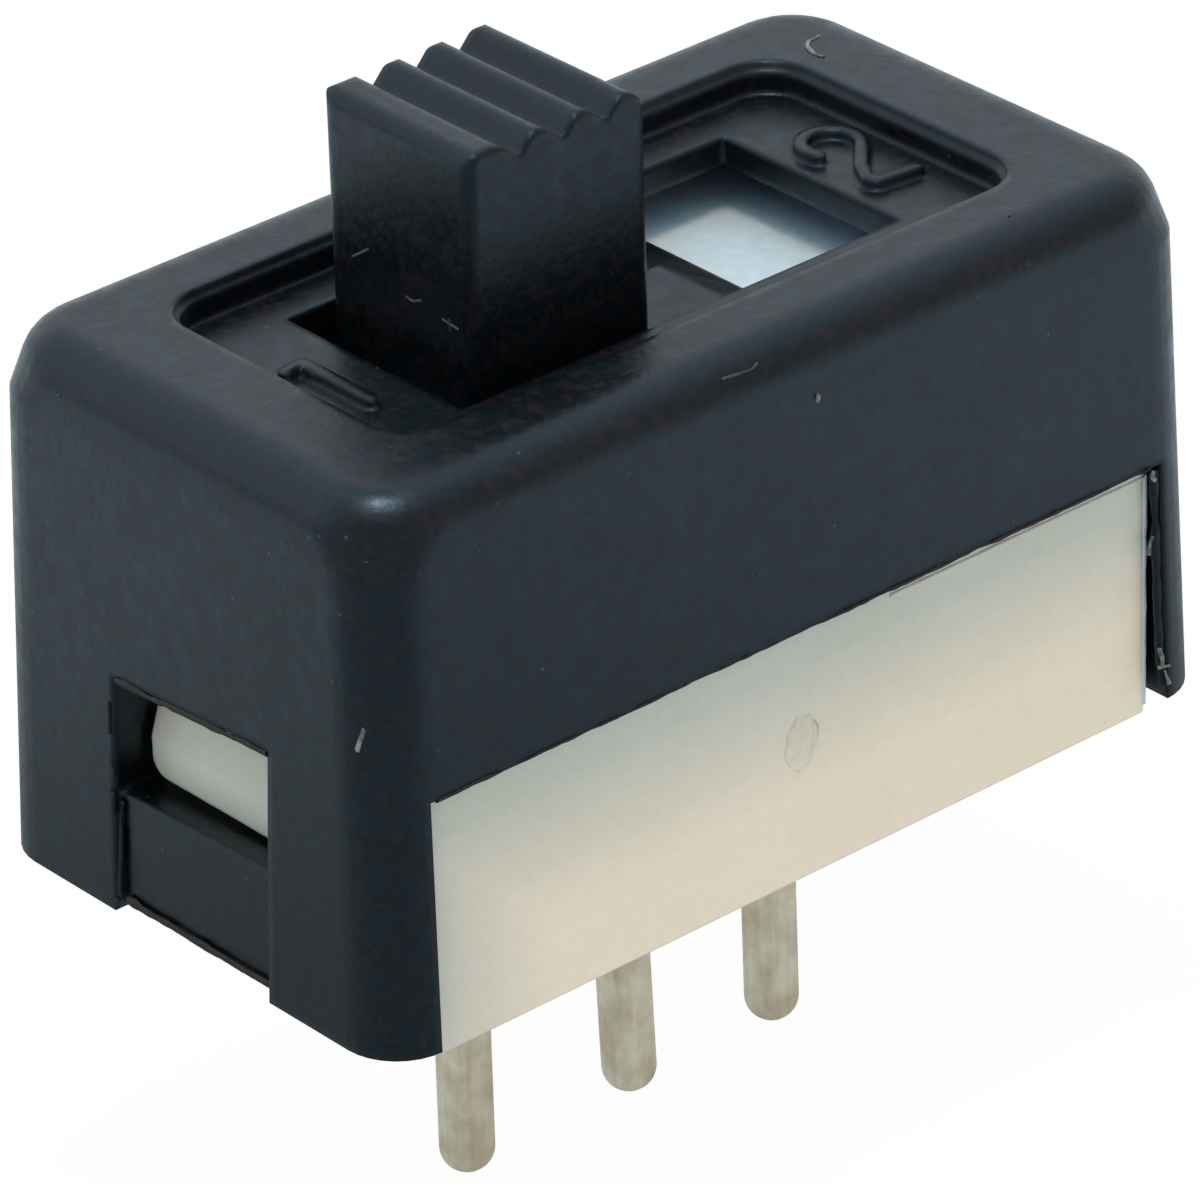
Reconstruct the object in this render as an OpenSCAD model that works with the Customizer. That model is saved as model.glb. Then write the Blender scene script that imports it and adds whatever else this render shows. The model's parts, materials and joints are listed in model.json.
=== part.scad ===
// Board-mounted slide switch, one pole, two positions.
// A moulded cover snaps over the teeth of a base that holds three flat terminals.
// A ribbed slider runs between the cover and a guide plate, and its peg carries a
// contact clip that bridges the middle terminal and one of the outer two.
// Origin: centre of the base's seat on the board. +X runs from position 1 to
// position 2, -Y is the side with the moulding gate, +Z is up. Millimetres.

/* [Cover] */
// Length of the cover at its open lower edge
cover_l = 13.42; // [13.2:0.02:15]
// Width of the cover at its open lower edge
cover_w = 7.52; // [7.2:0.02:9]
// Height of the cover's top face above the board
cover_top = 7.4; // [7.2:0.05:9]
// Height of the cover's lower edge above the board
cover_foot = 0.24; // [0.1:0.02:0.6]
// Draft angle of the cover's outer walls
cover_draft = 1.5; // [0.5:0.1:2.4]
// Radius of the cover's upright corners
corner_r = 0.8; // [0.4:0.05:1]
// Radius that the upright corners grow to at the top face
corner_top_r = 1.06; // [0.6:0.02:1.4]
// Depth below the top face over which the corners grow to it
corner_drop = 0.88; // [0.7:0.02:2]
// Radius of the rounding around the cover's top face
top_r = 0.6; // [0.2:0.05:0.7]
// Thickness of the cover's end legs at their lower ends
leg_t = 0.77; // [0.6:0.01:0.9]
// How much thicker the end legs are at the top of the side openings
leg_taper = 0.05; // [0.02:0.01:0.2]
// Height of the side openings' upper edge above the board
opening_top = 3.56; // [3.2:0.02:3.9]
// Width of the ledge that closes on the base above each leg
ledge = 0.18; // [0.1:0.01:0.3]
// Thickness of the cover's long walls at the lower edge
side_t = 0.96; // [0.8:0.01:1.1]

/* [Top recess and slot] */
// Width of the rim at each end of the recess, from the cover's lower outline
rim_l = 1.83; // [1.6:0.01:2]
// Width of the rim at each side of the recess, from the cover's lower outline
rim_w = 1.5; // [1.3:0.01:1.6]
// Depth of the recess below the top face
recess_depth = 0.405; // [0.2:0.005:0.5]
// Plan radius of the recess corners
recess_r = 0.6; // [0.3:0.05:1]
// Width of the shallow step around the recess
lip_w = 0.08; // [0.05:0.01:0.2]
// Depth of the shallow step around the recess
lip_depth = 0.1; // [0.03:0.01:0.15]
// Thickness of the recess floor
floor_t = 0.385; // [0.25:0.005:0.5]
// Gap between the slider's stem and the slot's ends at the end of its travel
slot_end_gap = 0.46; // [0.1:0.01:0.6]
// Gap between the slider's stem and the slot's sides
slot_side_gap = 0.27; // [0.1:0.01:0.4]

/* [Position digits] */
// How far the digits lie off the middle of the recess floor beside the slot, towards the slot
digit_inset = 0; // [0:0.01:0.15]
// Height of digit 2
digit_2_h = 1.76; // [1.2:0.02:1.8]
// Distance of digit 2's middle from the cover's middle plane
digit_2_y = -0.04; // [-0.3:0.02:0.3]
// Height of digit 1
digit_1_h = 1.42; // [1.2:0.02:1.8]
// Distance of digit 1's middle from the cover's middle plane
digit_1_y = -0.16; // [-0.3:0.02:0.3]
// Length of digit 1's flag
flag_l = 0.3; // [0.2:0.02:0.4]
// Width of the digits' strokes
stroke_w = 0.17; // [0.14:0.01:0.3]
// Height of the digits above the recess floor
digit_raise = 0.13; // [0.05:0.01:0.15]

/* [Snap windows] */
// Width of each snap window and of the strap below it
window_w = 2.88; // [2.4:0.02:3.4]
// Distance of the windows' middle from the cover's middle plane
window_y = -0.11; // [-0.2:0.01:0.2]
// Height of the windows' upper edge above the board, at its +Y end
window_top = 3.5; // [3.2:0.02:3.7]
// How much higher the windows' upper edge is at its -Y end
window_rise = 0.18; // [0:0.01:0.2]
// How far the windows' sides lean towards -Y from the strap to the upper edge
window_lean = 0.06; // [0:0.01:0.1]
// Height of the strap's upper edge above the board, at its +Y end
strap_top = 1.87; // [1.5:0.01:2.4]
// How much higher the strap's upper edge is at its -Y end
strap_rise = 0.1; // [0:0.01:0.2]
// How far the strap lies behind the end face
strap_inset = 0.09; // [0.05:0.005:0.25]
// How far the strap stops short of the cover's lower edge
strap_lift = 0.12; // [0.05:0.01:0.2]

/* [Base] */
// Gap between the plinth and the cover's lower edge above it
shoulder_gap = 0.08; // [0.02:0.01:0.15]
// How far the plinth's sides stand behind the cover's faces at the openings' upper edge
plinth_inset = 0.19; // [0.1:0.01:0.4]
// Radius of the plinth's upright edges
plinth_r = 0.14; // [0.05:0.01:0.3]
// Gap between moulded parts that are pushed together
fit_gap = 0.03; // [0.01:0.01:0.06]
// Gap between each snap tooth and the sides of its window
tooth_side_gap = 0.13; // [0.05:0.01:0.3]
// How far each snap tooth stands out of the base's end
tooth_out = 0.3; // [0.2:0.01:0.4]
// Height of the upright part of each tooth, below its slope
tooth_face = 0.5; // [0.3:0.05:0.8]
// Radius of the teeth's lower corners
tooth_r = 0.25; // [0.1:0.05:0.4]
// Gap between the tooth and the strap's lower end below it
tooth_gap = 0.16; // [0.12:0.01:0.2]
// Width of the well that the terminals and the clip lie in
well_w = 2; // [1.8:0.1:2.6]
// Gap between the outer terminals and the well's ends
well_end_gap = 0.12; // [0.05:0.01:0.3]
// Height of the well's floor above the board
well_floor = 2.5; // [2.2:0.1:2.8]
// Gap around each pin at the board face of the base
pin_relief = 0.12; // [0.08:0.01:0.2]
// Depth of the gap around each pin
relief_depth = 0.3; // [0.2:0.05:0.6]
// Diameter of the gate mark on the front of the plinth
gate_d = 0.5; // [0.3:0.05:0.8]
// Depth of the gate mark
gate_depth = 0.03; // [0.01:0.01:0.1]
// Height of the gate mark's middle above the board
gate_z = 1.95; // [1.5:0.05:2.5]
// Distance of the gate mark from the middle, towards position 2
gate_x = 0.06; // [-0.5:0.01:0.5]

/* [Guide plate] */
// Thickness of the guide plate
plate_t = 0.5; // [0.4:0.05:0.6]
// Height of the space between the guide plate and the cover
slide_space = 0.63; // [0.55:0.01:0.75]
// Distance of each locating peg's middle from the plate's end
peg_inset = 1; // [0.8:0.05:1.3]
// Diameter of the locating pegs
peg_d = 0.8; // [0.6:0.05:1]
// Length of the locating pegs
peg_l = 0.5; // [0.3:0.05:0.7]

/* [Slider] */
// Travel between the two positions
travel = 3.3; // [3:0.05:3.5]
// Length of the stem along the slide direction
stem_l = 2.76; // [2.4:0.01:2.8]
// Width of the stem across the slide direction
stem_w = 2.64; // [2.2:0.02:2.8]
// Height of the stem's ribs above the board
stem_top = 9.99; // [8.5:0.01:12]
// Number of ribs across the stem's top
rib_count = 4; // [3:1:4]
// Distance between neighbouring ribs
rib_pitch = 0.67; // [0.6:0.01:0.7]
// Distance of the first rib's foot from the stem's end face on the side of position 1
rib_start = 0.11; // [0.05:0.01:0.2]
// Radius of each rib's round crest
rib_r = 0.19; // [0.1:0.01:0.24]
// Slope of each rib's steep flank, on the side of position 1
rib_steep = 47; // [42:0.5:55]
// Slope of each rib's long flank, on the side of position 2
rib_slope = 39.5; // [35:0.5:42]
// Radius of the ribs' rounded ends
rib_end_r = 0.08; // [0.05:0.01:0.3]
// Radius of the stem's upright edges
stem_r = 0.15; // [0.05:0.01:0.3]
// Length of the flange under the cover
flange_l = 7.28; // [6.8:0.02:7.4]
// Thickness of the flange
flange_t = 0.4; // [0.36:0.01:0.44]
// How much lower the flange's top is at its ends than at the land
flange_fall = 0.26; // [0:0.01:0.28]
// Plan radius of the flange's corners
flange_r = 0.3; // [0.1:0.05:0.5]
// Running clearance of the slider above, below and beside it
run_gap = 0.05; // [0.03:0.01:0.08]
// How far the raised land stops short of the flange's ends
land_inset = 0.79; // [0.4:0.01:0.9]
// Width of the raised land
land_w = 1.7; // [1.4:0.05:2.4]
// Distance of the land's middle from the slider's middle plane
land_y = -0.6; // [-0.8:0.05:0.8]
// Distance of the drive peg from the slider's middle, towards position 1
drive_offset = 0.4; // [0.3:0.05:0.6]
// Length of the drive peg along the slide direction
drive_l = 0.7; // [0.5:0.05:0.8]
// Width of the drive peg
drive_w = 0.8; // [0.6:0.05:0.9]
// Size of the square nib below the drive peg that holds the clip
nib = 0.5; // [0.3:0.05:0.6]

/* [Contact clip] */
// Thickness of the clip's strip
clip_t = 0.15; // [0.1:0.01:0.2]
// Distance between the clip's two pairs of fingers
finger_pitch = 2.54; // [2.2:0.02:2.7]
// Width of each finger
finger_w = 0.7; // [0.4:0.05:0.8]
// Distance from the middle to the clip's upright legs
clip_half_w = 0.7; // [0.6:0.02:0.8]
// Height of the clip's upright legs
clip_leg = 0.45; // [0.3:0.05:0.6]
// Distance of the contact points below the clip's top
contact_drop = 1.2; // [1:0.05:1.4]
// Length of the fingers' tails below the contact points
finger_tail = 0.5; // [0.3:0.05:0.6]
// Gap between the fingers' contact points and the blades
contact_gap = 0.01; // [0.01:0.005:0.03]

/* [Terminals] */
// Distance between neighbouring terminals
pitch = 2.54; // [2.4:0.02:2.6]
// Width of a terminal's pin
pin_w = 0.56; // [0.4:0.02:0.7]
// Thickness of the terminal strip
pin_t = 0.54; // [0.4:0.02:0.6]
// Radius of the pins' long edges
pin_edge_r = 0.09; // [0.03:0.01:0.15]
// Length of the pins below the board face of the base
pin_l = 4.67; // [3:0.01:6]
// Lean of each pin below the base, towards position 2
pin_leans = [0, 2, 0.6]; // [-3:0.1:3]
// Width of the blade that the clip slides on
blade_w = 1.9; // [1.5:0.05:2]
// Gap between the blades' top edges and the clip's strip above them
blade_gap = 0.33; // [0.2:0.01:0.5]
// Depth of the blade's seat below the well's floor
blade_seat = 0.6; // [0.3:0.05:0.9]

/* [Hidden] */
$fn = 48;
hull_fn = 32;        // facets around the cover's rounded corners
over = 1;            // how far a cutting body runs past the face that it cuts
bury = 0.1;          // how deep one solid reaches into another of the same piece
tuck = 0.001;        // how far a flat flank lies inside the round crest that it meets
black = "#2f363b";
ivory = "#d9d4c8";
plated = "#b9b5aa";
bronze = "#c8b27c";

// Cover, from the outside in
draft_run = tan(cover_draft);               // horizontal run for each millimetre of height
leg_inner_foot = cover_l - 2 * leg_t;
leg_inner_top = leg_inner_foot - 2 * leg_taper;
cavity_l = leg_inner_top - 2 * ledge;
cavity_w = cover_w - 2 * side_t;
recess_l = cover_l - 2 * rim_l;
recess_w = cover_w - 2 * rim_w;
slot_l = stem_l + travel + 2 * slot_end_gap;
slot_w = stem_w + 2 * slot_side_gap;
recess_floor = cover_top - recess_depth;
ceiling = recess_floor - floor_t;           // underside of the cover's top wall
digit_x = (slot_l + recess_l) / 4 - digit_inset;

// Base and guide plate, inside the cover
plinth_h = opening_top - shoulder_gap;
base_l = leg_inner_top - 2 * fit_gap;
plinth_w = 2 * (cover_half(cover_w, opening_top) - plinth_inset);
block_l = cavity_l - 2 * fit_gap;
block_w = cavity_w - 2 * fit_gap;
plate_top = ceiling - slide_space;
base_top = plate_top - plate_t;             // the guide plate's seat on the base
peg_x = block_l / 2 - peg_inset;
tooth_w = window_w - 2 * tooth_side_gap;
tooth_z = strap_top + tooth_gap;
well_l = 2 * pitch + blade_w + 2 * well_end_gap;
blade_z = well_floor - blade_seat;

// Slider and clip, between the guide plate and the cover
rest_x = -travel / 2;                       // the slider's middle in position 1
flange_w = cavity_w - 4 * run_gap;
flange_z = plate_top + run_gap;
flange_top = flange_z + flange_t;
land_l = flange_l - 2 * land_inset;
land_top = ceiling - run_gap;
travel_room = travel + flange_l + 6 * run_gap;   // length that the flange sweeps, with clearance
clip_top = base_top - 4 * run_gap;
clip_l = finger_pitch + finger_w;
contact_y = pin_t / 2 + contact_gap;        // the fingers' contact points, from the middle
contact_z = clip_top - contact_drop;
blade_top = clip_top - clip_t - blade_gap;

// Middle of terminal number i, counted from position 1
function pin_x(i) = (i - 1) * pitch;

// Half of a drafted outer size of the cover at height z, from its size at the lower edge
function cover_half(size, z) = size / 2 - (z - cover_foot) * draft_run;

// Flat rectangle with round corners, centred
module rounded_rect(l, w, r) {
    square([l - 2 * r, w], center = true);
    square([l, w - 2 * r], center = true);
    for (x = [-1, 1], y = [-1, 1])
        translate([x * (l / 2 - r), y * (w / 2 - r)])
            circle(r);
}

// Upright block with round corners, centred in plan, from z0 to z1
module rounded_block(l, w, r, z0, z1) {
    translate([0, 0, z0])
        linear_extrude(z1 - z0)
            rounded_rect(l, w, r);
}

// Plain block, centred in plan, from z0 to z1
module block(l, w, z0, z1) {
    translate([-l / 2, -w / 2, z0])
        cube([l, w, z1 - z0]);
}

// Round disc with a rounded upper rim, the top corner of the cover
module corner_puck() {
    rotate_extrude($fn = hull_fn) {
        square([corner_top_r, 0.01]);
        square([corner_top_r - top_r, top_r]);
        intersection() {
            translate([corner_top_r - top_r, 0])
                circle(top_r, $fn = hull_fn);
            square([corner_top_r, top_r]);
        }
    }
}

// Solid outer form of the cover: drafted walls, round corners and a rounded top
module cover_outside() {
    top_x = cover_half(cover_l, cover_top) - corner_top_r;
    top_y = cover_half(cover_w, cover_top) - corner_top_r;
    hull()
        for (x = [-1, 1], y = [-1, 1]) {
            translate([x * top_x, y * top_y, cover_top - top_r])
                corner_puck();
            for (z = [cover_foot, cover_top - corner_drop])
                translate([x * (cover_half(cover_l, z) - corner_r),
                           y * (cover_half(cover_w, z) - corner_r), z])
                    cylinder(r = corner_r, h = 0.01, $fn = hull_fn);
        }
}

// Flat raised stroke with round ends from point a to point b on the recess floor
module stroke(a, b) {
    d = b - a;
    for (p = [a, b])
        translate([p[0], p[1], -bury])
            cylinder(d = stroke_w, h = bury + digit_raise, $fn = 24);
    translate([a[0], a[1], -bury])
        rotate([0, 0, atan2(d[1], d[0])])
            translate([0, -stroke_w / 2, 0])
                cube([norm(d), stroke_w, bury + digit_raise]);
}

// Raised digit 1: an upright and a short flag
module digit_one() {
    half = (digit_1_h - stroke_w) / 2;
    stroke([0, digit_1_y - half], [0, digit_1_y + half]);
    stroke([0, digit_1_y + half], [-flag_l, digit_1_y + half - stroke_w / 4]);
}

// Raised digit 2: a bow, a slanting neck and a foot
module digit_two() {
    bow_r = 0.215 * digit_2_h;
    bow_y = 0.241 * digit_2_h;
    start_a = 205;
    end_a = -50;
    path = [[bow_r * cos(end_a), bow_y + bow_r * sin(end_a)],
            [-0.094 * digit_2_h, -0.165 * digit_2_h],
            [-0.194 * digit_2_h, -0.345 * digit_2_h],
            [-0.175 * digit_2_h, -0.41 * digit_2_h],
            [0.176 * digit_2_h, -0.45 * digit_2_h]];
    translate([0, bow_y, -bury])
        rotate([0, 0, end_a])
            rotate_extrude(angle = start_a - end_a)
                translate([bow_r - stroke_w / 2, 0])
                    square([stroke_w, bury + digit_raise]);
    translate([bow_r * cos(start_a), bow_y + bow_r * sin(start_a), -bury])
        cylinder(d = stroke_w, h = bury + digit_raise, $fn = 24);
    for (i = [0:len(path) - 2])
        stroke(path[i], path[i + 1]);
}

// Openings at both ends, seen along X: the snap window, a little out of square, and the notch under its strap
module window_outline() {
    left = window_y + window_w / 2;
    right = window_y - window_w / 2;
    polygon([[right, strap_top + strap_rise], [left, strap_top],
             [left - window_lean, window_top],
             [right - window_lean, window_top + window_rise]]);
    translate([right + window_lean, cover_foot - over])
        square([window_w, over + strap_lift]);
}

// Recess for the strap below the +X window, parallel to the drafted end face
module strap_recess() {
    left = window_y + window_w / 2;
    right = window_y - window_w / 2;
    drop = strap_top - cover_foot + over;
    translate([cover_l / 2 - strap_inset, 0, cover_foot])
        rotate([0, -cover_draft, 0])
            translate([0, 0, strap_top - cover_foot])
                rotate([90, 0, 90])
                    linear_extrude(over)
                        polygon([[right, strap_rise + bury], [left, bury],
                                 [left + window_lean, -drop], [right + window_lean, -drop]]);
}

// Side openings between the two end legs, wider at the lower edge
module side_openings() {
    top = leg_inner_top / 2;
    foot = leg_inner_foot / 2;
    rotate([90, 0, 0])
        linear_extrude(cover_w + over, center = true)
            polygon([[-foot, cover_foot - over], [foot, cover_foot - over],
                     [foot, cover_foot], [top, opening_top], [-top, opening_top], [-foot, cover_foot]]);
}

module cover() {
    color(black) {
        difference() {
            cover_outside();
            side_openings();
            // cavity for the base, then the space that the slider's flange runs in
            block(cavity_l, cavity_w, opening_top - over, plate_top);
            block(travel_room, cavity_w, plate_top - over, ceiling);
            // recess in the top, with its shallow step, and the slot
            rounded_block(recess_l, recess_w, recess_r, recess_floor, cover_top + over);
            rounded_block(recess_l + 2 * lip_w, recess_w + 2 * lip_w, recess_r + lip_w,
                          cover_top - lip_depth, cover_top + over);
            block(slot_l, slot_w, ceiling - over, cover_top);
            // snap windows and the straps below them
            rotate([90, 0, 90])
                linear_extrude(cover_l + over, center = true)
                    window_outline();
            strap_recess();
            mirror([1, 0, 0])
                strap_recess();
        }
        translate([-digit_x, 0, recess_floor])
            digit_one();
        translate([digit_x, digit_2_y, recess_floor])
            digit_two();
    }
}

// Snap tooth on the +X end of the base, upright below, sloping above, with round lower corners
module snap_tooth() {
    face = base_l / 2;
    intersection() {
        translate([0, window_y + tooth_w / 2, 0])
            rotate([90, 0, 0])
                linear_extrude(tooth_w)
                    polygon([[face - bury, tooth_z], [face + tooth_out, tooth_z],
                             [face + tooth_out, tooth_z + tooth_face],
                             [face, plinth_h], [face - bury, plinth_h]]);
        translate([0, window_y, tooth_z])
            rotate([90, 0, 90])
                linear_extrude(base_l) {
                    translate([-tooth_w / 2, tooth_r])
                        square([tooth_w, plinth_h - tooth_z]);
                    translate([-tooth_w / 2 + tooth_r, 0])
                        square([tooth_w - 2 * tooth_r, plinth_h - tooth_z]);
                    for (y = [-1, 1])
                        translate([y * (tooth_w / 2 - tooth_r), tooth_r])
                            circle(tooth_r);
                }
    }
}

module base() {
    color(ivory)
        difference() {
            union() {
                rounded_block(base_l, plinth_w, plinth_r, 0, plinth_h);
                block(block_l, block_w, plinth_h - bury, base_top);
                snap_tooth();
                mirror([1, 0, 0])
                    snap_tooth();
            }
            block(well_l, well_w, well_floor, base_top + over);
            for (i = [0:2])
                translate([pin_x(i), 0, 0]) {
                    block(blade_w + 2 * contact_gap, pin_t + 2 * contact_gap, blade_z, well_floor + over);
                    block(pin_w + 2 * contact_gap, pin_t + 2 * contact_gap, -over, blade_z + bury);
                    block(pin_w + 2 * pin_relief, pin_t + 2 * pin_relief, -over, relief_depth);
                }
            for (x = [-peg_x, peg_x])
                translate([x, 0, base_top - peg_l - fit_gap])
                    cylinder(d = peg_d + 2 * fit_gap, h = peg_l + over);
            translate([gate_x, -plinth_w / 2, gate_z])
                rotate([90, 0, 0])
                    cylinder(d = gate_d, h = 2 * gate_depth, center = true);
        }
}

module guide_plate() {
    color(ivory) {
        difference() {
            block(block_l, block_w, base_top, plate_top);
            translate([-drive_offset, 0, 0])
                block(travel + drive_l + 2 * run_gap, drive_w + 2 * run_gap,
                      base_top - over, plate_top + over);
        }
        for (x = [-peg_x, peg_x])
            translate([x, 0, base_top - peg_l])
                cylinder(d = peg_d, h = peg_l + plate_t / 2);
    }
}

// Outline of the stem seen along Y, with its row of round ribs
module stem_profile() {
    crest_z = stem_top - rib_r;
    // the flanks cut a little into the round crest, so that they meet it cleanly
    flank_r = rib_r - tuck;
    // the crest's middle, from the foot of the rib's steep flank
    crest_x = (rib_pitch * tan(rib_slope) + flank_r * (1 / cos(rib_steep) - 1 / cos(rib_slope)))
              / (tan(rib_steep) + tan(rib_slope));
    valley_z = crest_z - crest_x * tan(rib_steep) + flank_r / cos(rib_steep);
    translate([-stem_l / 2, flange_z])
        square([stem_l, valley_z - flange_z]);
    for (i = [0:rib_count - 1])
        translate([-stem_l / 2 + rib_start + i * rib_pitch, 0]) {
            translate([crest_x, crest_z])
                circle(rib_r);
            polygon([[0, valley_z - bury], [0, valley_z],
                     [crest_x - flank_r * sin(rib_steep), crest_z + flank_r * cos(rib_steep)],
                     [crest_x + flank_r * sin(rib_slope), crest_z + flank_r * cos(rib_slope)],
                     [rib_pitch, valley_z], [rib_pitch, valley_z - bury]]);
        }
    // the first rib is filled out to the stem's end face
    translate([-stem_l / 2, flange_z])
        square([rib_start + crest_x, crest_z - flange_z]);
    translate([-stem_l / 2 + rib_r, flange_z])
        square([rib_start + crest_x - rib_r, stem_top - flange_z]);
    translate([-stem_l / 2 + rib_r, crest_z])
        circle(rib_r);
}

// Stem seen along X, with rounded upper corners
module stem_end_profile() {
    translate([-stem_w / 2, flange_z])
        square([stem_w, stem_top - rib_end_r - flange_z]);
    translate([-stem_w / 2 + rib_end_r, flange_z])
        square([stem_w - 2 * rib_end_r, stem_top - flange_z]);
    for (y = [-1, 1])
        translate([y * (stem_w / 2 - rib_end_r), stem_top - rib_end_r])
            circle(rib_end_r);
}

// Flange seen along Y: level under the land, sloping down to both ends
module flange_profile() {
    polygon([[-flange_l / 2, flange_z], [flange_l / 2, flange_z],
             [flange_l / 2, flange_top - flange_fall], [land_l / 2, flange_top],
             [-land_l / 2, flange_top], [-flange_l / 2, flange_top - flange_fall]]);
}

module slider() {
    color(black)
        translate([rest_x, 0, 0]) {
            intersection() {
                translate([0, stem_w / 2, 0])
                    rotate([90, 0, 0])
                        linear_extrude(stem_w)
                            stem_profile();
                translate([-stem_l / 2, 0, 0])
                    rotate([90, 0, 90])
                        linear_extrude(stem_l)
                            stem_end_profile();
                rounded_block(stem_l, stem_w, stem_r, flange_z, stem_top + over);
            }
            intersection() {
                rotate([90, 0, 0])
                    linear_extrude(flange_w, center = true)
                        flange_profile();
                rounded_block(flange_l, flange_w, flange_r, flange_z, flange_top);
            }
            translate([0, land_y, 0])
                block(land_l, land_w, flange_z, land_top);
            translate([-drive_offset, 0, 0]) {
                block(drive_l, drive_w, clip_top + run_gap, flange_top);
                block(nib, nib, clip_top - clip_t - run_gap, flange_top);
            }
        }
}

// One side of the clip's outline seen along X: half the bridge, a leg, and a finger bent to its contact point
module clip_side() {
    points = [[0, clip_top - clip_t / 2],
              [clip_half_w, clip_top - clip_t / 2],
              [clip_half_w, clip_top - clip_leg],
              [contact_y + clip_t / 2, contact_z],
              [contact_y + clip_t, contact_z - finger_tail]];
    for (i = [0:len(points) - 2]) {
        d = points[i + 1] - points[i];
        translate(points[i])
            rotate(atan2(d[1], d[0]))
                translate([0, -clip_t / 2])
                    square([norm(d), clip_t]);
        translate(points[i + 1])
            circle(d = clip_t, $fn = 24);
    }
}

module contact_clip() {
    color(bronze)
        translate([rest_x, 0, 0])
            difference() {
                union() {
                    for (x = [-1, 1], side = [0, 1])
                        translate([x * finger_pitch / 2 - finger_w / 2, 0, 0])
                            mirror([0, side, 0])
                                rotate([90, 0, 90])
                                    linear_extrude(finger_w)
                                        clip_side();
                    block(clip_l, 2 * clip_half_w, clip_top - clip_t, clip_top);
                }
                translate([-drive_offset, 0, 0])
                    block(nib + 2 * contact_gap, nib + 2 * contact_gap, clip_top - over, clip_top + over);
            }
}

// Pin of a terminal from its domed tip up to height z1, upright at the middle
module pin(z1) {
    dome_r = norm([pin_w / 2 - pin_edge_r, pin_t / 2 - pin_edge_r]) + pin_edge_r;
    intersection() {
        rounded_block(pin_w, pin_t, pin_edge_r, -pin_l, z1);
        union() {
            translate([0, 0, dome_r - pin_l])
                sphere(dome_r);
            translate([0, 0, dome_r - pin_l])
                cylinder(r = dome_r, h = pin_l + z1);
        }
    }
}

// Flat stamped terminal number i: a blade in the well and a pin that leans a little below the base
module terminal(i) {
    color(plated)
        translate([pin_x(i), 0, 0]) {
            block(blade_w, pin_t, blade_z, blade_top);
            block(pin_w, pin_t, -bury, blade_z + bury);
            rotate([0, -pin_leans[i], 0])
                pin(0);
        }
}

cover();
base();
guide_plate();
slider();
contact_clip();
terminal(0);  // terminal_1
terminal(1);  // terminal_common
terminal(2);  // terminal_2
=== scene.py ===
"""Slide switch on its pins in a plain pale studio: materials, small moulding marks, light and camera.

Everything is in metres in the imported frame: +X from position 1 to position 2, -Y the side with the
gate mark, +Z up, z = 0 the base's seat on the board. Places and sizes written in millimetres are
turned to metres where they are used.
"""
import json
import math

import bmesh
import bpy
from mathutils import Matrix, Vector
from mathutils.bvhtree import BVHTree
from mathutils.noise import noise as lump_noise


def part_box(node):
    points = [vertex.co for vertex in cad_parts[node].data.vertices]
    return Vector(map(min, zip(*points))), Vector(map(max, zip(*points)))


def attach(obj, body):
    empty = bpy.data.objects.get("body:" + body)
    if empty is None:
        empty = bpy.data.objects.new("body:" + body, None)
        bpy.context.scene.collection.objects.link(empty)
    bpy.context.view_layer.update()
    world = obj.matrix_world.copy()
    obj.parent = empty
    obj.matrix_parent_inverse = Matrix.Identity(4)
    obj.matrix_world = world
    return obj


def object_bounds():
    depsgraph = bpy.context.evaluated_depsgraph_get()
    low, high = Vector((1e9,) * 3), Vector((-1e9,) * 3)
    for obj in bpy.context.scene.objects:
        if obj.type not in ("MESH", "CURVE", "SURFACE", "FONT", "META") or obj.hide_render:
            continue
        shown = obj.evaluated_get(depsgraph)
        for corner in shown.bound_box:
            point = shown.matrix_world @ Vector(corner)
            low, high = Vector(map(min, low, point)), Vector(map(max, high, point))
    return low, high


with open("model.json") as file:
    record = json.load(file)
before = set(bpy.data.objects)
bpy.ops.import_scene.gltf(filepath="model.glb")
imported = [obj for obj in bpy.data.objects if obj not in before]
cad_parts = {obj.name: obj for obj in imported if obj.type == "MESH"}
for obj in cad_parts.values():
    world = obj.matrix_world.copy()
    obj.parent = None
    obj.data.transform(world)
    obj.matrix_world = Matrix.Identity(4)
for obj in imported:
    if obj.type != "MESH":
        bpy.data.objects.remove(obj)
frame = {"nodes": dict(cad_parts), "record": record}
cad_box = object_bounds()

MM = 0.001


def box_mm(node):
    """Low and high corner of a CAD node's box, in millimetres."""
    return [[value / MM for value in corner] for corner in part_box(node)]


(COVER_LEFT, COVER_FRONT, _), (COVER_RIGHT, _, COVER_TOP) = box_mm("cover")
(BASE_LEFT, BASE_FRONT, _), (_, _, BASE_TOP) = box_mm("base")
(SLIDER_LEFT, _, _), (SLIDER_RIGHT, _, KNOB_TOP) = box_mm("slider")
HALF_KNOB = 1.38                                           # half the knob's length along the travel
KNOB_FACE = (SLIDER_LEFT + SLIDER_RIGHT) / 2 - HALF_KNOB   # the knob's face towards position 1


# ---------------------------------------------------------------- helpers

def srgb(hex_colour):
    """'#rrggbb' as the linear RGBA tuple that Blender's sockets take."""
    out = []
    for i in (1, 3, 5):
        c = int(hex_colour[i:i + 2], 16) / 255
        out.append(c / 12.92 if c <= 0.04045 else ((c + 0.055) / 1.055) ** 2.4)
    return (*out, 1.0)


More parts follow.
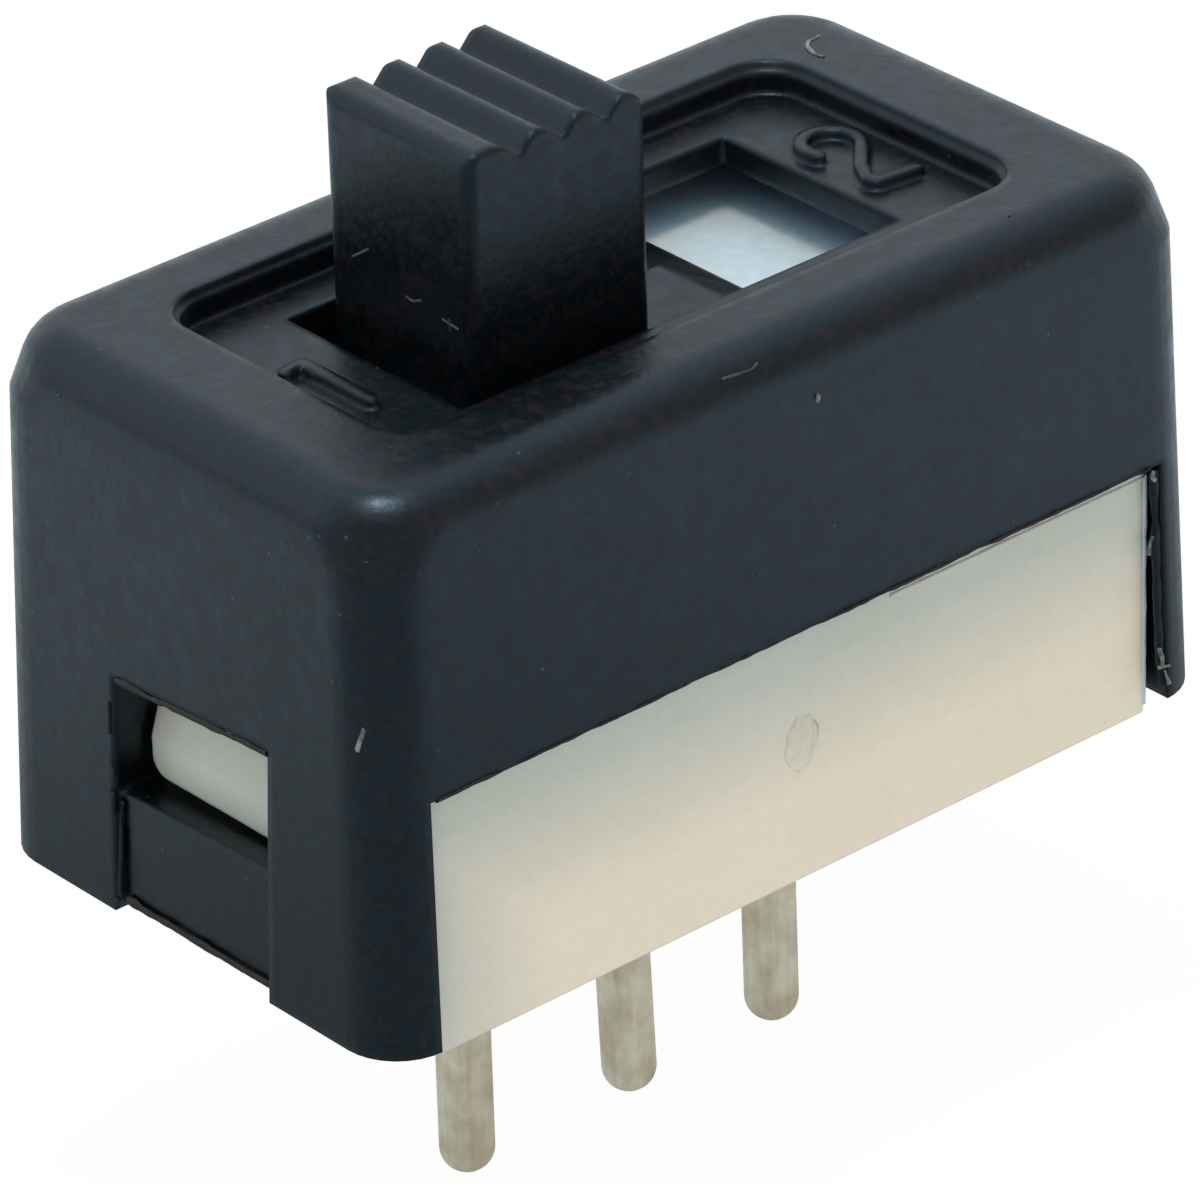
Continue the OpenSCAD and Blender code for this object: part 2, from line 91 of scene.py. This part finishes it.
def add_node(tree, kind, inputs=None, stops=(), **settings):
    """Adds one node. inputs maps a socket's number, name or identifier to what it gets: a node, of which
    the first enabled output is linked, an output, an sRGB hex text or a plain value. stops are a colour
    ramp's (place, colour), where a colour is a hex text or a grey level."""
    node = tree.nodes.new(kind)
    for name, value in settings.items():
        setattr(node, name, value)
    by_identifier = {socket.identifier: socket for socket in node.inputs}
    for key, value in (inputs or {}).items():
        socket = by_identifier[key] if key in by_identifier else node.inputs[key]
        if isinstance(value, bpy.types.Node):
            value = next(output for output in value.outputs if output.enabled)
        if isinstance(value, bpy.types.NodeSocket):
            tree.links.new(value, socket)
        else:
            is_hex = isinstance(value, str) and value.startswith("#")
            socket.default_value = srgb(value) if is_hex else value
    for number, (place, colour) in enumerate(stops):
        elements = node.color_ramp.elements
        element = elements[number] if number < len(elements) else elements.new(place)
        element.position = place
        element.color = srgb(colour) if isinstance(colour, str) else (colour, colour, colour, 1)
    return node


def object_mm(tree, scale=(1, 1, 1)):
    """Object coordinates in millimetres, times scale."""
    at = add_node(tree, "ShaderNodeTexCoord").outputs["Object"]
    return add_node(tree, "ShaderNodeMapping", {"Vector": at, "Scale": [s / MM for s in scale]})


def relief(tree, height, strength, depth, worn_edge=0.0):
    """Normal of a skin that height roughens, depth deep, with edges rounded by worn_edge, both in mm."""
    inputs = {"Height": height, "Strength": strength, "Distance": depth * MM}
    if worn_edge:
        inputs["Normal"] = add_node(tree, "ShaderNodeBevel", {"Radius": worn_edge * MM}, samples=8)
    return add_node(tree, "ShaderNodeBump", inputs)


def new_material(name):
    """Empty node material and its tree."""
    mat = bpy.data.materials.new(name)
    mat.use_nodes = True
    mat.node_tree.nodes.clear()
    return mat, mat.node_tree


def finish(tree, inputs, **settings):
    """Ends a material in a principled surface."""
    surface = add_node(tree, "ShaderNodeBsdfPrincipled", inputs, **settings)
    add_node(tree, "ShaderNodeOutputMaterial", {"Surface": surface})


def new_piece(name, mesh):
    """Object of the mesh, smooth, in the scene."""
    for face in mesh.polygons:
        face.use_smooth = True
    piece = bpy.data.objects.new(name, mesh)
    bpy.context.scene.collection.objects.link(piece)
    return piece


# ---------------------------------------------------------------- materials
# A noise's Scale is its features to the millimetre. Moulded grain is finer than that in the real
# plastics, and is drawn as coarse as it needs to be to show.

def black_moulding():
    """Carbon-black nylon as moulded: nearly no colour of its own, a cool satin sheen, faint clouding and
    mottling from how the melt flowed, and sparse pale specks."""
    mat, tree = new_material("moulded_black_nylon")
    at = object_mm(tree)
    cloud = add_node(tree, "ShaderNodeTexNoise",
                     {"Vector": at, "Scale": 0.8, "Detail": 4.0, "Roughness": 0.55})
    mottle = add_node(tree, "ShaderNodeTexNoise",
                     {"Vector": at, "Scale": 4.5, "Detail": 4.0, "Roughness": 0.6})
    grain = add_node(tree, "ShaderNodeTexNoise",
                     {"Vector": at, "Scale": 9.0, "Detail": 3.0, "Roughness": 0.6})
    mottled = add_node(tree, "ShaderNodeValToRGB", {"Fac": mottle},
                       [(0.4, "#011317"), (0.5, "#050608"), (0.6, "#1c080f")])
    grained = add_node(tree, "ShaderNodeValToRGB", {"Fac": grain}, [(0.35, "#010202"), (0.65, "#14181b")])
    tone = add_node(tree, "ShaderNodeMix", {"Factor_Float": 0.45, "A_Color": mottled, "B_Color": grained},
                    data_type="RGBA")
    spots = add_node(tree, "ShaderNodeTexVoronoi", {"Vector": at, "Scale": 2.0, "Randomness": 1.0})
    speck = add_node(tree, "ShaderNodeValToRGB", {"Fac": spots}, [(0.0, 0.5), (0.035, 0.3), (0.055, 0.0)])
    tone = add_node(tree, "ShaderNodeMix", {"Factor_Float": speck, "A_Color": tone, "B_Color": "#59646a"},
                    data_type="RGBA")
    clouded = add_node(tree, "ShaderNodeValToRGB", {"Fac": cloud}, [(0.3, 0.28), (0.7, 0.4)])
    uneven = add_node(tree, "ShaderNodeValToRGB", {"Fac": mottle}, [(0.35, 0.24), (0.65, 0.5)])
    satin = add_node(tree, "ShaderNodeMix", {"Factor_Float": 0.5, "A_Color": clouded, "B_Color": uneven},
                     data_type="RGBA")
    finish(tree, {"Base Color": tone, "Roughness": satin, "IOR": 1.52, "Specular Tint": "#cfe8ff",
                  "Normal": relief(tree, grain, 0.35, 0.013, 0.15)})
    return mat


def grained_nylon(name, dark, light, scale, roughness):
    """Nylon with no relief of its own and a grain between two tones, each given as a ramp's stop."""
    mat, tree = new_material(name)
    grain = add_node(tree, "ShaderNodeTexNoise",
                     {"Vector": object_mm(tree), "Scale": scale, "Detail": 3.0, "Roughness": 0.55})
    tone = add_node(tree, "ShaderNodeValToRGB", {"Fac": grain}, [dark, light])
    finish(tree, {"Base Color": tone, "Roughness": roughness})
    return mat


def thin_flash():
    """Thin black flash at a mould's parting edge, where the nylon lets some light through and looks brown."""
    return grained_nylon("thin_flash_nylon", (0.35, "#0d0706"), (0.65, "#24150f"), 6.0, 0.55)


def whitened_nylon():
    """Black nylon bruised or scraped: the torn skin scatters light and turns grey."""
    return grained_nylon("whitened_black_nylon", (0.35, "#444c4c"), (0.65, "#8a8f88"), 8.0, 0.6)


def scuffed_nylon():
    """Black nylon only rubbed: a dull dark grey mark."""
    return grained_nylon("scuffed_black_nylon", (0.35, "#262c2e"), (0.65, "#434b4f"), 8.0, 0.6)


def white_lip_painted_sheen():
    """Thin rounded lip of the white nylon, painted cooler and greyer than the mass behind it: a painted sheen
    of the cool light its rounded edge catches.
    """
    return grained_nylon("thin_white_nylon_painted_sheen", (0.3, "#bccbdd"), (0.7, "#ccd7e4"), 7.0, 0.4)


def white_moulding():
    """Unfilled white nylon: warm ivory, satin, a little translucent. Painted shade turns it darker and
    cooler on the ledge under the cover and towards the end of position 1."""
    mat, tree = new_material("moulded_white_nylon")
    at = object_mm(tree)
    cloud = add_node(tree, "ShaderNodeTexNoise",
                     {"Vector": at, "Scale": 0.35, "Detail": 2.0, "Roughness": 0.55})
    grain = add_node(tree, "ShaderNodeTexNoise",
                     {"Vector": at, "Scale": 7.0, "Detail": 3.0, "Roughness": 0.55})
    clouded = add_node(tree, "ShaderNodeValToRGB", {"Fac": cloud}, [(0.3, "#faeedb"), (0.7, "#f6e9d2")])
    grained = add_node(tree, "ShaderNodeValToRGB", {"Fac": grain}, [(0.35, "#eadfcc"), (0.65, "#fbf0e0")])
    ivory = add_node(tree, "ShaderNodeMix", {"Factor_Float": 0.2, "A_Color": clouded, "B_Color": grained},
                     data_type="RGBA")
    place = add_node(tree, "ShaderNodeSeparateXYZ", {0: at}).outputs
    # painted shade: these masks darken and cool the ivory near the top, under the cover's overhang, and
    # towards the end of position 1
    ledge = add_node(tree, "ShaderNodeMapRange",
                     {"Value": place["Z"], "From Min": BASE_TOP - 4.3, "From Max": BASE_TOP - 2.5})
    end = add_node(tree, "ShaderNodeMapRange",
                   {"Value": place["X"], "From Min": BASE_LEFT + 2.2, "From Max": BASE_LEFT})
    cool = add_node(tree, "ShaderNodeMath", {0: ledge, 1: end}, operation="MAXIMUM")
    # the darker, cooler ivory of the painted shade
    shaded_ivory = add_node(tree, "ShaderNodeMix", {"Factor_Float": 1.0, "A_Color": ivory, "B_Color": "#d0e0ea"},
                      data_type="RGBA", blend_type="MULTIPLY")
    tone = add_node(tree, "ShaderNodeMix", {"Factor_Float": cool, "A_Color": ivory, "B_Color": shaded_ivory},
                    data_type="RGBA")
    finish(tree, {"Base Color": tone, "Roughness": 0.42, "Subsurface Weight": 0.12,
                  "Subsurface Radius": (0.5, 0.4, 0.3), "Subsurface Scale": 0.3 * MM,
                  "Normal": relief(tree, grain, 0.25, 0.01, 0.06)})
    return mat


def natural_plate():
    """Natural nylon of the guide plate: milky, cool, light spreading well under its skin."""
    mat, tree = new_material("natural_nylon")
    grain = add_node(tree, "ShaderNodeTexNoise",
                     {"Vector": object_mm(tree), "Scale": 5.0, "Detail": 3.0, "Roughness": 0.55})
    tone = add_node(tree, "ShaderNodeValToRGB", {"Fac": grain}, [(0.3, "#cfe2ee"), (0.7, "#dcebf3")])
    finish(tree, {"Base Color": tone, "Roughness": 0.5, "Subsurface Weight": 0.9,
                  "Subsurface Radius": (0.3, 0.65, 1.0), "Subsurface Scale": 1.6 * MM,
                  "Normal": relief(tree, grain, 0.25, 0.01)}, subsurface_method="BURLEY")
    return mat


def tinned_strip():
    """Dull tin over bronze strip: its oxide scatters part of the light, and fine drawing marks, drawn
    coarser than they are, run along the pins."""
    mat, tree = new_material("dull_tin_plate")
    along = object_mm(tree, (9, 9, 0.35))
    streaks = add_node(tree, "ShaderNodeTexNoise",
                       {"Vector": along, "Scale": 1.0, "Detail": 4.0, "Roughness": 0.6})
    cloud = add_node(tree, "ShaderNodeTexNoise",
                     {"Vector": object_mm(tree), "Scale": 1.8, "Detail": 3.0, "Roughness": 0.55})
    drawn = add_node(tree, "ShaderNodeValToRGB", {"Fac": streaks},
                     [(0.3, "#d9cfb8"), (0.55, "#f3ead1"), (0.75, "#fdf6e4")])
    clouded = add_node(tree, "ShaderNodeValToRGB", {"Fac": cloud}, [(0.38, "#c2b69a"), (0.62, "#fdf6e2")])
    tone = add_node(tree, "ShaderNodeMix", {"Factor_Float": 0.5, "A_Color": drawn, "B_Color": clouded},
                    data_type="RGBA")
    dulled = add_node(tree, "ShaderNodeValToRGB", {"Fac": streaks}, [(0.3, 0.5), (0.7, 0.34)])
    finish(tree, {"Base Color": tone, "Metallic": 0.5, "Roughness": dulled,
                  "Normal": relief(tree, streaks, 0.5, 0.02, 0.07)})
    return mat


def spring_bronze():
    """Bright rolled phosphor bronze with rolling lines along the strip, drawn coarser than they are."""
    mat, tree = new_material("rolled_phosphor_bronze")
    along = object_mm(tree, (0.6, 12, 12))
    lines = add_node(tree, "ShaderNodeTexNoise",
                     {"Vector": along, "Scale": 1.0, "Detail": 3.0, "Roughness": 0.55})
    tone = add_node(tree, "ShaderNodeValToRGB", {"Fac": lines}, [(0.3, "#b98e56"), (0.7, "#d8b377")])
    polish = add_node(tree, "ShaderNodeValToRGB", {"Fac": lines}, [(0.3, 0.34), (0.7, 0.24)])
    finish(tree, {"Base Color": tone, "Metallic": 1.0, "Roughness": polish,
                  "Normal": relief(tree, lines, 0.3, 0.006, 0.03)})
    return mat


MATERIALS = {
    "black_moulding": black_moulding(),
    "white_moulding": white_moulding(),
    "tinned_strip": tinned_strip(),
    "contact_bronze": spring_bronze(),
}
for part in frame["record"]["subparts"]:
    mesh = frame["nodes"][part["node"]].data
    mesh.materials.clear()
    mesh.materials.append(MATERIALS[part["material_slot"]])
frame["nodes"]["guide_plate"].data.materials[0] = natural_plate()


# ---------------------------------------------------------------- flash, burrs and scuffs

def ragged_thread_tree():
    """Geometry Nodes: a ragged thread along the edges of the mesh it is given, flattened by Squash."""
    tree = bpy.data.node_groups.new("ragged_bead", "GeometryNodeTree")
    for name, kind in (("Geometry", "Geometry"), ("Radius", "Float"), ("Step", "Float"), ("Wander", "Float"),
                       ("Raggedness", "Float"), ("Squash", "Vector"), ("Seed", "Float"),
                       ("Material", "Material")):
        tree.interface.new_socket(name, in_out="INPUT", socket_type="NodeSocket" + kind)
    tree.interface.new_socket("Geometry", in_out="OUTPUT", socket_type="NodeSocketGeometry")
    given = add_node(tree, "NodeGroupInput").outputs
    here = add_node(tree, "GeometryNodeInputPosition")

    # the thread's middle line wanders off the path, and each place of it is stored as "core"
    thread = add_node(tree, "GeometryNodeMeshToCurve", {"Mesh": given["Geometry"]})
    thread = add_node(tree, "GeometryNodeResampleCurve", {"Curve": thread, "Length": given["Step"]},
                      mode="LENGTH")
    rough = add_node(tree, "ShaderNodeTexNoise",
                     {"Vector": here, "W": given["Seed"], "Scale": 2400.0, "Detail": 2.0},
                     noise_dimensions="4D").outputs
    aside = add_node(tree, "ShaderNodeVectorMath", {0: rough["Color"], 1: (0.5, 0.5, 0.5)},
                     operation="SUBTRACT")
    aside = add_node(tree, "ShaderNodeVectorMath", {0: aside, "Scale": given["Wander"]}, operation="SCALE")
    thread = add_node(tree, "GeometryNodeSetPosition", {"Geometry": thread, "Offset": aside})
    thread = add_node(tree, "GeometryNodeStoreNamedAttribute",
                      {"Geometry": thread, "Name": "core", "Value": here}, data_type="FLOAT_VECTOR")

    # its thickness is uneven
    uneven = add_node(tree, "ShaderNodeMapRange", {"Value": rough["Fac"], "From Min": 0.3, "From Max": 0.7,
                                                   "To Min": -1.0, "To Max": 1.0})
    uneven = add_node(tree, "ShaderNodeMath", {0: uneven, 1: given["Raggedness"], 2: 1.0},
                      operation="MULTIPLY_ADD")
    ring = add_node(tree, "GeometryNodeCurvePrimitiveCircle", {"Resolution": 8, "Radius": given["Radius"]})
    skin = add_node(tree, "GeometryNodeCurveToMesh",
                    {"Curve": thread, "Profile Curve": ring, "Scale": uneven, "Fill Caps": True})

    # and it is flattened about its middle line
    core = add_node(tree, "GeometryNodeInputNamedAttribute", {"Name": "core"}, data_type="FLOAT_VECTOR")
    out = add_node(tree, "ShaderNodeVectorMath", {0: here, 1: core}, operation="SUBTRACT")
    out = add_node(tree, "ShaderNodeVectorMath", {0: out, 1: given["Squash"], 2: core},
                   operation="MULTIPLY_ADD")
    skin = add_node(tree, "GeometryNodeSetPosition", {"Geometry": skin, "Position": out})
    skin = add_node(tree, "GeometryNodeRealizeInstances", {"Geometry": skin})
    skin = add_node(tree, "GeometryNodeSetMaterial", {"Geometry": skin, "Material": given["Material"]})
    add_node(tree, "NodeGroupOutput", {"Geometry": skin})
    return tree


RAGGED_THREAD = ragged_thread_tree()
THREAD_STEP = 0.06   # between two places along a thread, in millimetres


def ragged_thread(name, body, material, corner, paths, radius, ragged, wander, seed,
                  squash=(1, 1, 1), on=None):
    """A ragged thread of plastic along each path. The paths' places are measured from corner. Those,
    radius and wander are in millimetres. The places are pulled onto the skin of the node named by on.
    wander is how far the thread strays to each side, so the tree gets twice that."""
    places = [(Vector(corner) + Vector(p)) * MM for path in paths for p in path]
    if on:
        solid = frame["nodes"][on].data
        skin = BVHTree.FromPolygons([v.co for v in solid.vertices], [f.vertices for f in solid.polygons])
        places = [skin.find_nearest(p)[0] for p in places]
    edges, first = [], 0
    for path in paths:
        edges += [(first + i, first + i + 1) for i in range(len(path) - 1)]
        first += len(path)
    lines = bpy.data.meshes.new(name)
    lines.from_pydata(places, edges, [])
    piece = new_piece(name, lines)
    grow = piece.modifiers.new("ragged_bead", "NODES")
    grow.node_group = RAGGED_THREAD
    sockets = {s.name: s.identifier for s in RAGGED_THREAD.interface.items_tree if s.in_out == "INPUT"}
    for socket, value in (("Radius", radius * MM), ("Step", THREAD_STEP * MM), ("Wander", wander * 2 * MM),
                          ("Raggedness", ragged), ("Squash", squash), ("Seed", float(seed)),
                          ("Material", material)):
        grow[sockets[socket]] = value
    made = bpy.data.meshes.new_from_object(piece.evaluated_get(bpy.context.evaluated_depsgraph_get()))
    piece.modifiers.clear()
    piece.data = made
    made.attributes.remove(made.attributes["core"])
    for face in made.polygons:
        face.use_smooth = True
    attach(piece, body)


def leg_marks():
    """Flash down the inner edge of the cover's front leg at position 2, with torn grey burrs on it."""
    corner = (COVER_RIGHT, COVER_FRONT, 0)
    ragged_thread("leg_flash", "housing", MATERIALS["black_moulding"], corner,
                  [[(-0.85, 0.157, 3.46), (-0.825, 0.127, 2.2), (-0.795, 0.087, 0.9), (-0.775, 0.067, 0.42)]],
                  radius=0.1, ragged=0.45, wander=0.03, seed=3, squash=(1, 0.35, 1))
    ragged_thread("leg_burrs", "housing", whitened_nylon(), corner,
                  [[(-0.99, 0.057, 3.52), (-1.05, 0.027, 3.46), (-0.99, 0.047, 3.41)],
                   [(-1.0, 0.047, 2.62), (-1.05, 0.037, 2.56), (-1.07, 0.037, 2.38)],
                   [(-0.91, 0.007, 1.0), (-0.86, -0.003, 0.84), (-0.86, -0.003, 0.74)],
                   [(-0.92, 0.007, 0.74), (-0.74, -0.013, 0.71)],
                   [(-0.83, -0.013, 0.68), (-0.77, -0.013, 0.46)]],
                  radius=0.028, ragged=0.5, wander=0.03, seed=5)


def cover_edge_flash():
    """Flash along the cover's foot and round the window and strap at the end of position 1."""
    black, brown = MATERIALS["black_moulding"], thin_flash()
    ragged_thread("foot_flash", "housing", brown, (0, COVER_FRONT, 0),
                  [[(-5.8, 0.107, 3.55), (0, 0.107, 3.55), (5.7, 0.107, 3.55)]],
                  radius=0.026, ragged=0.5, wander=0.02, seed=7)
    end = (COVER_LEFT, 0, 0)
    ragged_thread("strap_foot_flash", "housing", brown, end,
                  [[(0.05, 1.2, 0.45), (0.05, 0.2, 0.44), (0.05, -1.5, 0.45)]],
                  radius=0.05, ragged=0.6, wander=0.03, seed=37, squash=(0.6, 1, 1))
    ragged_thread("strap_side_flash", "housing", black, end,
                  [[(0.09, 1.26, 1.8), (0.04, 1.29, 0.9), (0.02, 1.31, 0.46)]],
                  radius=0.045, ragged=0.3, wander=0.02, seed=41, squash=(0.5, 1, 1))
    ragged_thread("window_flash", "housing", brown, end,
                  [[(0.1, 1.24, 3.46), (0.11, 0.4, 3.49), (0.11, 0.36, 3.52), (0.11, -0.6, 3.57),
                    (0.11, -1.58, 3.64)]],
                  radius=0.055, ragged=0.55, wander=0.04, seed=11, squash=(0.6, 1, 1))
    ragged_thread("window_burrs", "housing", black, end,
                  [[(0.05, 1.34, 2.32), (0.05, 1.3, 2.14)], [(0.04, 1.36, 1.9), (0.03, 1.345, 1.6)],
                   [(0.01, 1.36, 0.44), (0.01, 1.38, 0.3)], [(0.07, 1.35, 3.1), (0.06, 1.36, 2.7)]],
                  radius=0.034, ragged=0.5, wander=0.03, seed=13)


def base_edge_flash():
    """Rounded lips of white nylon up the plinth's edge at position 2 and along its shoulder."""
    front = (0, BASE_FRONT, 0)
    # the lip up the plinth's edge carries a painted cool sheen in its colour
    ragged_thread("seat_flash", "housing", white_lip_painted_sheen(), front,
                  [[(5.8, 0.033, 3.36), (5.8, 0.033, 0.1)]],
                  radius=0.045, ragged=0.15, wander=0.01, seed=17)
    ragged_thread("shoulder_flash", "housing", MATERIALS["white_moulding"], front,
                  [[(1.5, 0.013, 3.33), (5.76, 0.013, 3.33)]],
                  radius=0.035, ragged=0.15, wander=0.01, seed=47)


def gate_vestige():
    """Torn stub of the moulding gate: a low uneven patch that runs out into the base's front face."""
    middle = Vector((0.03, BASE_FRONT + 0.012, 1.9))
    half_width, rise, half_height = 0.28, 0.034, 0.4
    lump = bmesh.new()
    bmesh.ops.create_icosphere(lump, subdivisions=5, radius=1.0)
    for vertex in lump.verts:
        at = vertex.co.copy()
        edge = 1 + 0.16 * lump_noise(at * 2.1)
        tear = 1 + 0.9 * lump_noise(at * 4.0) + 0.7 * lump_noise(at * 9.0)
        reach = Vector((half_width * edge * at.x, rise * tear * at.y, half_height * edge * at.z))
        vertex.co = (middle + reach) * MM
    mesh = bpy.data.meshes.new("gate_vestige")
    lump.to_mesh(mesh)
    lump.free()
    mesh.materials.append(MATERIALS["white_moulding"])
    piece = new_piece("gate_vestige", mesh)
    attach(piece, "housing")


def scuffs():
    """Bruises, rubs and crumbs on the black skin of the cover and the knob."""
    bruised, rubbed = whitened_nylon(), scuffed_nylon()
    top = (0, 0, COVER_TOP)
    ragged_thread("cover_scuffs", "housing", rubbed, top,
                  [[(3.95, -3.02, 0), (3.99, -2.99, 0)],
                   [(-1.07, -3.42, -0.2), (-0.6, -3.44, -0.23), (-0.5, -3.41, -0.2)],
                   [(-0.87, -3.65, -2.77), (-0.86, -3.65, -2.82)],
                   [(-4.64, -3.57, -0.41), (-4.63, -3.57, -0.45)],
                   [(-6.29, -3.2, -0.68), (-6.28, -3.2, -0.71)],
                   [(-6.52, 2.15, -0.5), (-6.52, 2.12, -0.52)]],
                  radius=0.017, ragged=0.5, wander=0.02, seed=23, on="cover")
    ragged_thread("cover_bruise", "housing", bruised, top,
                  [[(5.71, 2.24, 0), (5.5, 2.22, 0), (5.38, 2.12, 0), (5.31, 1.91, 0), (5.33, 1.75, 0)]],
                  radius=0.03, ragged=0.5, wander=0.02, seed=43, squash=(1, 1, 0.5), on="cover")
    ragged_thread("corner_bruise", "housing", bruised, top,
                  [[(-6.485, -3.25, -2.78), (-6.54, -3.17, -3.08)],
                   [(0.25, -3.6, -0.86), (0.29, -3.6, -0.89)]],
                  radius=0.055, ragged=0.3, wander=0.02, seed=29, squash=(0.5, 0.5, 1), on="cover")
    ragged_thread("knob_scuffs", "actuator", rubbed, (KNOB_FACE, 0, KNOB_TOP),
                  [[(0, -0.1, -2.22), (0, -0.22, -2.26), (0, -0.37, -2.18)],
                   [(0, 0.86, -2.05), (0, 0.55, -1.84)],
                   [(0, -0.76, -2.28), (0, -1.05, -2.32)],
                   [(0, -0.88, -2.23), (0, -0.9, -2.39)]],
                  radius=0.017, ragged=0.5, wander=0.02, seed=31, on="slider")


leg_marks()
cover_edge_flash()
base_edge_flash()
gate_vestige()
scuffs()


# ---------------------------------------------------------------- studio

def studio_floor():
    """Pale floor just under the pin tips. The camera sees it close to full white but for the object's
    shadow, and what mirrors it sees it with a painted shadow: duller near the object and towards the near
    corner."""
    low = cad_box[0][2]
    half = 0.6
    mesh = bpy.data.meshes.new("studio_floor")
    mesh.from_pydata([(-half, -half, low), (half, -half, low), (half, half, low), (-half, half, low)],
                     [], [(0, 1, 2, 3)])
    floor = bpy.data.objects.new("studio_floor", mesh)
    bpy.context.scene.collection.objects.link(floor)
    mat, tree = new_material("pale_paper")
    at = object_mm(tree)
    fibres = add_node(tree, "ShaderNodeTexNoise",
                      {"Vector": at, "Scale": 0.05, "Detail": 2.0, "Roughness": 0.55})
    paper = add_node(tree, "ShaderNodeValToRGB", {"Fac": fibres}, [(0.3, "#f4f4f3"), (0.7, "#f7f7f6")])
    matt = add_node(tree, "ShaderNodeBsdfDiffuse", {"Color": paper})
    white = add_node(tree, "ShaderNodeEmission", {"Color": (1, 1, 1, 1), "Strength": 1.0})

    # what mirrors see, with a painted shadow: dull out to 14 mm from the object's middle, white from 23 mm
    # on,
    #     and down to half as bright from 5 to 20 mm towards the near corner
    away = add_node(tree, "ShaderNodeVectorMath", {0: at, 1: (0, 0, low / MM)}, operation="DISTANCE")
    painted_shadow_near_object = add_node(tree, "ShaderNodeMapRange", {"Value": away, "From Min": 14.0, "From Max": 23.0,
                                                "To Min": 0.44, "To Max": 1.0})
    nearer = add_node(tree, "ShaderNodeVectorMath", {0: at, 1: (-0.85, -0.52, 0)}, operation="DOT_PRODUCT")
    dull = add_node(tree, "ShaderNodeMapRange", {"Value": nearer, "From Min": 5.0, "From Max": 20.0,
                                                 "To Min": 1.0, "To Max": 0.5})
    # painted shadow: the two falloffs together set how bright the mirrored floor is
    level = add_node(tree, "ShaderNodeMath", {0: painted_shadow_near_object, 1: dull}, operation="MULTIPLY")
    mirror = add_node(tree, "ShaderNodeEmission", {"Color": "#ebfaff", "Strength": level})

    rays = add_node(tree, "ShaderNodeLightPath").outputs
    mirrored = add_node(tree, "ShaderNodeMath", {0: rays["Is Glossy Ray"], 1: rays["Is Transmission Ray"]},
                        operation="MAXIMUM")
    direct = add_node(tree, "ShaderNodeMath", {0: rays["Is Camera Ray"], 1: 0.97}, operation="MULTIPLY")
    blend = add_node(tree, "ShaderNodeMixShader", {0: direct, 1: matt, 2: white})
    blend = add_node(tree, "ShaderNodeMixShader", {0: mirrored, 1: blend, 2: mirror})
    add_node(tree, "ShaderNodeOutputMaterial", {"Surface": blend})
    mesh.materials.append(mat)


def softbox(name, place, target, size, power):
    """Rectangular area light at place, turned to target. Places and size in millimetres, power in watts."""
    lamp = bpy.data.lights.new(name, "AREA")
    lamp.shape = "RECTANGLE"
    lamp.size, lamp.size_y = size[0] * MM, size[1] * MM
    lamp.energy = power
    obj = bpy.data.objects.new(name, lamp)
    bpy.context.scene.collection.objects.link(obj)
    obj.location = Vector(place) * MM
    obj.rotation_euler = (Vector(target) - Vector(place)).to_track_quat("-Z", "Y").to_euler()
    return obj


def studio_lamps():
    """Small softbox overhead, and a weak warm fill in front that leaves no highlight."""
    softbox("light_top", (-18, -12, 160), (0, 0, 5), (22, 22), 0.095)
    fill = softbox("light_front", (40, -160, 40), (0, 0, 3), (90, 90), 0.013)
    fill.data.color = srgb("#fff4ee")[:3]
    fill.visible_glossy = False


def studio_world():
    """White tent, bright behind the object, duller on the gate side, cool overhead. The camera sees it
    as white."""
    world = bpy.data.worlds.new("studio")
    bpy.context.scene.world = world
    world.use_nodes = True
    tree = world.node_tree
    tree.nodes.clear()
    towards = add_node(tree, "ShaderNodeTexCoord").outputs["Generated"]
    behind = add_node(tree, "ShaderNodeVectorMath", {0: towards, 1: (0.2, 0.97, 0.1)},
                      operation="DOT_PRODUCT")
    behind = add_node(tree, "ShaderNodeMapRange", {"Value": behind, "From Min": -1.0})
    walls = add_node(tree, "ShaderNodeValToRGB", {"Fac": behind},
                     [(0.0, "#bab0a8"), (0.35, "#bab0a8"), (0.75, "#f2fbff")])
    up = add_node(tree, "ShaderNodeSeparateXYZ", {0: towards}).outputs["Z"]
    overhead = add_node(tree, "ShaderNodeValToRGB", {"Fac": up}, [(0.72, 0.0), (0.86, 1.0)])
    tent = add_node(tree, "ShaderNodeMix", {"Factor_Float": overhead, "A_Color": walls, "B_Color": "#dcf4ff"},
                    data_type="RGBA")
    fill = add_node(tree, "ShaderNodeBackground", {"Color": tent, "Strength": 1.0})
    white = add_node(tree, "ShaderNodeBackground", {"Color": (1, 1, 1, 1), "Strength": 1.0})
    direct = add_node(tree, "ShaderNodeLightPath").outputs["Is Camera Ray"]
    seen = add_node(tree, "ShaderNodeMixShader", {0: direct, 1: fill, 2: white})
    add_node(tree, "ShaderNodeOutputWorld", {"Surface": seen})


def camera():
    """Long lens on the corner between the gate side and the end of position 1, looking down on the top."""
    place = Vector((-60.002, -69.966, 54.231)) * MM
    turn, drop, roll = math.radians(40.572), math.radians(29.271), math.radians(-1.7256)
    ahead = Vector((math.sin(turn) * math.cos(drop), math.cos(turn) * math.cos(drop), -math.sin(drop)))
    level = Vector((math.cos(turn), -math.sin(turn), 0))
    rise = level.cross(ahead)
    right = math.cos(roll) * level + math.sin(roll) * rise
    top = -math.sin(roll) * level + math.cos(roll) * rise
    data = bpy.data.cameras.new("camera")
    data.sensor_fit = "HORIZONTAL"
    data.sensor_width = 36
    data.lens = 259.44
    data.clip_start = 0.001
    obj = bpy.data.objects.new("camera", data)
    bpy.context.scene.collection.objects.link(obj)
    obj.matrix_world = Matrix.Translation(place) @ Matrix((right, top, -ahead)).transposed().to_4x4()
    bpy.context.scene.camera = obj


studio_floor()
studio_world()
studio_lamps()
camera()

bpy.context.scene.view_settings.view_transform = "Standard"
